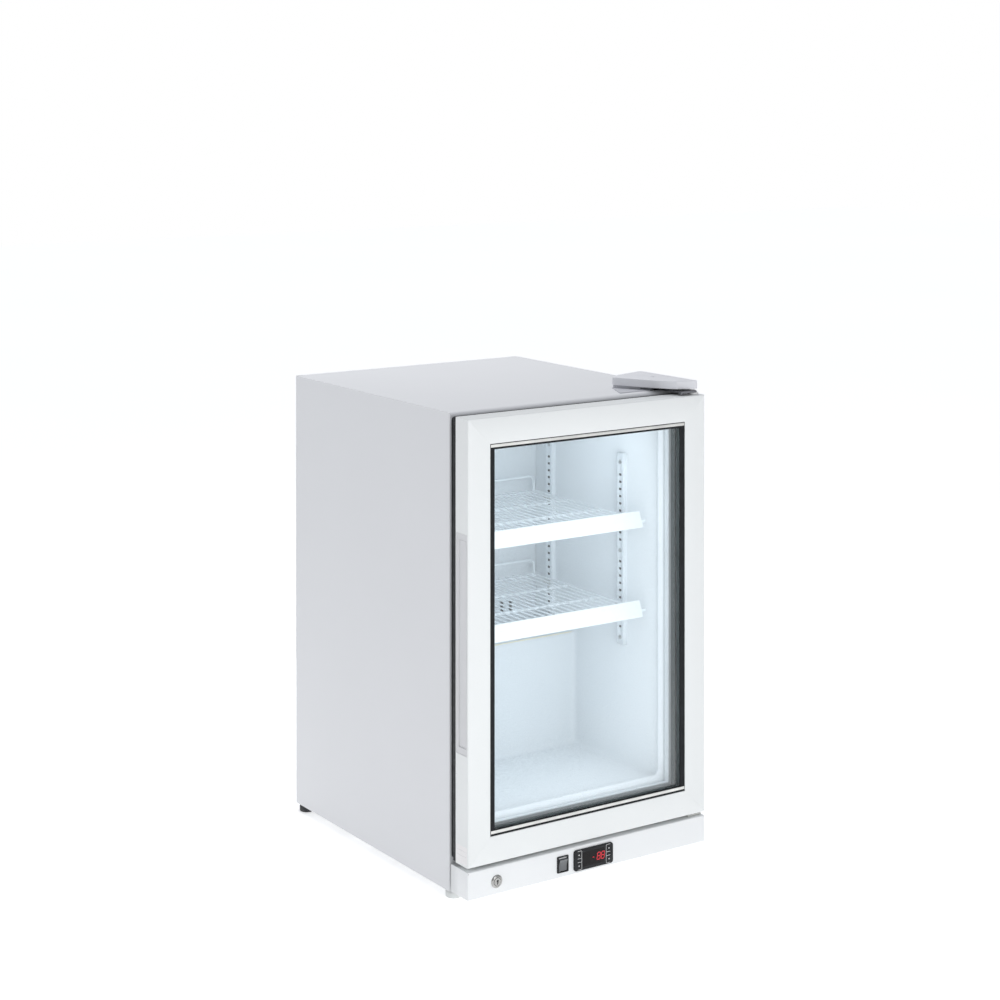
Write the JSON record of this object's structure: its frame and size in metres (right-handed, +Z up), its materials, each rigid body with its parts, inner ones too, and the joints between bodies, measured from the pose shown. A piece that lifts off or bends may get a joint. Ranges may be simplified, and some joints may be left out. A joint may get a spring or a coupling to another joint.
{
  "type": "undercounter refrigerator",
  "caption": "Undercounter display refrigerator with a framed glass door hinged on the right, two wire shelves and a control strip in its kick panel.",
  "frame": {"origin": "on the floor, under the middle of the object's outer box", "axes": "+Z up, -Y out of the glass door, +X to the right as one faces the door"},
  "size_m": [0.45, 0.5376, 0.7474],
  "materials": {
    "white_painted_steel": "semi-gloss powder coat, very light grey-white",
    "door_frame_white": "satin white coating on extruded aluminium",
    "galvanised_steel": "zinc-coated sheet",
    "insulation": "foamed polyurethane",
    "liner_white": "smooth white moulded plastic",
    "shelf_white": "white plastic-coated wire",
    "strip_white": "extruded white plastic",
    "zinc_plated": "bright zinc plate",
    "coil_aluminium": "mill-finish fins",
    "motor_steel": "dark grey paint",
    "compressor_black": "gloss black enamel",
    "fan_plastic": "moulded nylon",
    "tray_plastic": "moulded polypropylene",
    "copper": "bare copper tube",
    "black_plastic": "fine-textured black",
    "black_rubber": "soft black",
    "button_black": "satin black keys with a printed white mark",
    "display_window": "dark red-black lens with lit red digits",
    "rocker_grey": "dark translucent rocker",
    "lock_nickel": "satin nickel",
    "clear_glass": "clear float glass",
    "cover_plastic": "light grey-white moulding",
    "foot_plastic": "white moulding on a steel stem",
    "handle_plastic": "light grey-white moulding",
    "bush_plastic": "white acetal"
  },
  "bodies": {
    "cabinet": {"back_panel": "white_painted_steel", "base_pan": "galvanised_steel", "bottom_hinge_bracket": "zinc_plated", "compressor": "compressor_black", "compressor_grommets": "black_rubber", "condensate_tray": "tray_plastic", "condenser_coil": "coil_aluminium", "condenser_fan_motor": "motor_steel", "controller_housing": "black_plastic", "controller_window": "display_window", "drain_tube": "tray_plastic", "evaporator_coil": "coil_aluminium", "evaporator_cover": "liner_white", "evaporator_fan_motor": "motor_steel", "hinge_cover": "cover_plastic", "inner_liner": "liner_white", "insulation_foam": "insulation", "interior_lamp": "strip_white", "kick_panel": "white_painted_steel", "lock_barrel": "lock_nickel", "machine_bulkhead": "galvanised_steel", "pilasters": "liner_white", "power_inlet": "black_plastic", "rear_feet": "black_plastic", "rear_grille": "white_painted_steel", "refrigerant_line": "copper", "screws": "zinc_plated", "shelf_clips": "zinc_plated", "side_panels": "white_painted_steel", "switch_housing": "black_plastic", "temperature_probe": "black_plastic", "throat_frame": "liner_white", "top_hinge_bracket": "zinc_plated", "top_panel": "white_painted_steel"},
    "door": {"door_rails": "door_frame_white", "door_stiles": "door_frame_white", "door_corner_keys": "zinc_plated", "door_bushings": "bush_plastic", "glass_panes": "clear_glass", "glass_spacer": "black_rubber", "glazing_gasket": "black_rubber", "glazing_strips": "coil_aluminium", "door_rear_trim": "black_plastic", "door_gasket": "black_rubber", "handle_insert": "handle_plastic"},
    "lock": {"lock_plug": "lock_nickel", "lock_cam": "lock_nickel"},
    "rocker": {"switch_rocker": "rocker_grey"},
    "shelf_lower": {"shelf_lower_grid": "shelf_white", "ticket_strip_lower": "strip_white"},
    "shelf_upper": {"shelf_upper_grid": "shelf_white", "ticket_strip_upper": "strip_white"},
    "front_foot_left": {"front_foot_left": "foot_plastic"},
    "front_foot_right": {"front_foot_right": "foot_plastic"},
    "evaporator_fan": {"evaporator_fan_blade": "fan_plastic"},
    "condenser_fan": {"condenser_fan_blade": "fan_plastic"},
    "button_upper_left": {"button_upper_left": "button_black"},
    "button_lower_left": {"button_lower_left": "button_black"},
    "button_upper_right": {"button_upper_right": "button_black"},
    "button_lower_right": {"button_lower_right": "button_black"}
  },
  "joints": [
    {"name": "door_hinge", "type": "hinge", "parent": "cabinet", "child": "door", "pos_m": [0.214, -0.24836, 0.061], "axis": [0, 0, 1], "range_deg": [0, 110]},
    {"name": "lock_turn", "type": "hinge", "parent": "cabinet", "child": "lock", "pos_m": [-0.174, -0.26396, 0.0328], "axis": [0, -1, 0], "range_deg": [0, 90]},
    {"name": "rocker_tip", "type": "hinge", "parent": "cabinet", "child": "rocker", "pos_m": [-0.0534, -0.26216, 0.034], "axis": [-1, 0, 0], "range_deg": [0, 20]},
    {"name": "shelf_lower_lift", "type": "slide", "parent": "cabinet", "child": "shelf_lower", "axis": [0, 0, 1], "range_m": [0, 0.03]},
    {"name": "shelf_upper_lift", "type": "slide", "parent": "cabinet", "child": "shelf_upper", "axis": [0, 0, 1], "range_m": [0, 0.03]},
    {"name": "evaporator_fan_spin", "type": "hinge", "parent": "cabinet", "child": "evaporator_fan", "pos_m": [0, 0.17564, 0.556], "axis": [0, 1, 0], "continuous": true},
    {"name": "condenser_fan_spin", "type": "hinge", "parent": "cabinet", "child": "condenser_fan", "pos_m": [0.12, 0.14364, 0.0985], "axis": [0, 1, 0], "continuous": true},
    {"name": "front_foot_left_screw", "type": "slide", "parent": "cabinet", "child": "front_foot_left", "axis": [0, 0, -1], "range_m": [0, 0.008]},
    {"name": "front_foot_right_screw", "type": "slide", "parent": "cabinet", "child": "front_foot_right", "axis": [0, 0, -1], "range_m": [0, 0.008]},
    {"name": "button_upper_left_press", "type": "slide", "parent": "cabinet", "child": "button_upper_left", "axis": [0, 1, 0], "range_m": [0, 0.0005], "stiffness_N_per_m": 600},
    {"name": "button_lower_left_press", "type": "slide", "parent": "cabinet", "child": "button_lower_left", "axis": [0, 1, 0], "range_m": [0, 0.0005], "stiffness_N_per_m": 600},
    {"name": "button_upper_right_press", "type": "slide", "parent": "cabinet", "child": "button_upper_right", "axis": [0, 1, 0], "range_m": [0, 0.0005], "stiffness_N_per_m": 600},
    {"name": "button_lower_right_press", "type": "slide", "parent": "cabinet", "child": "button_lower_right", "axis": [0, 1, 0], "range_m": [0, 0.0005], "stiffness_N_per_m": 600}
  ]
}
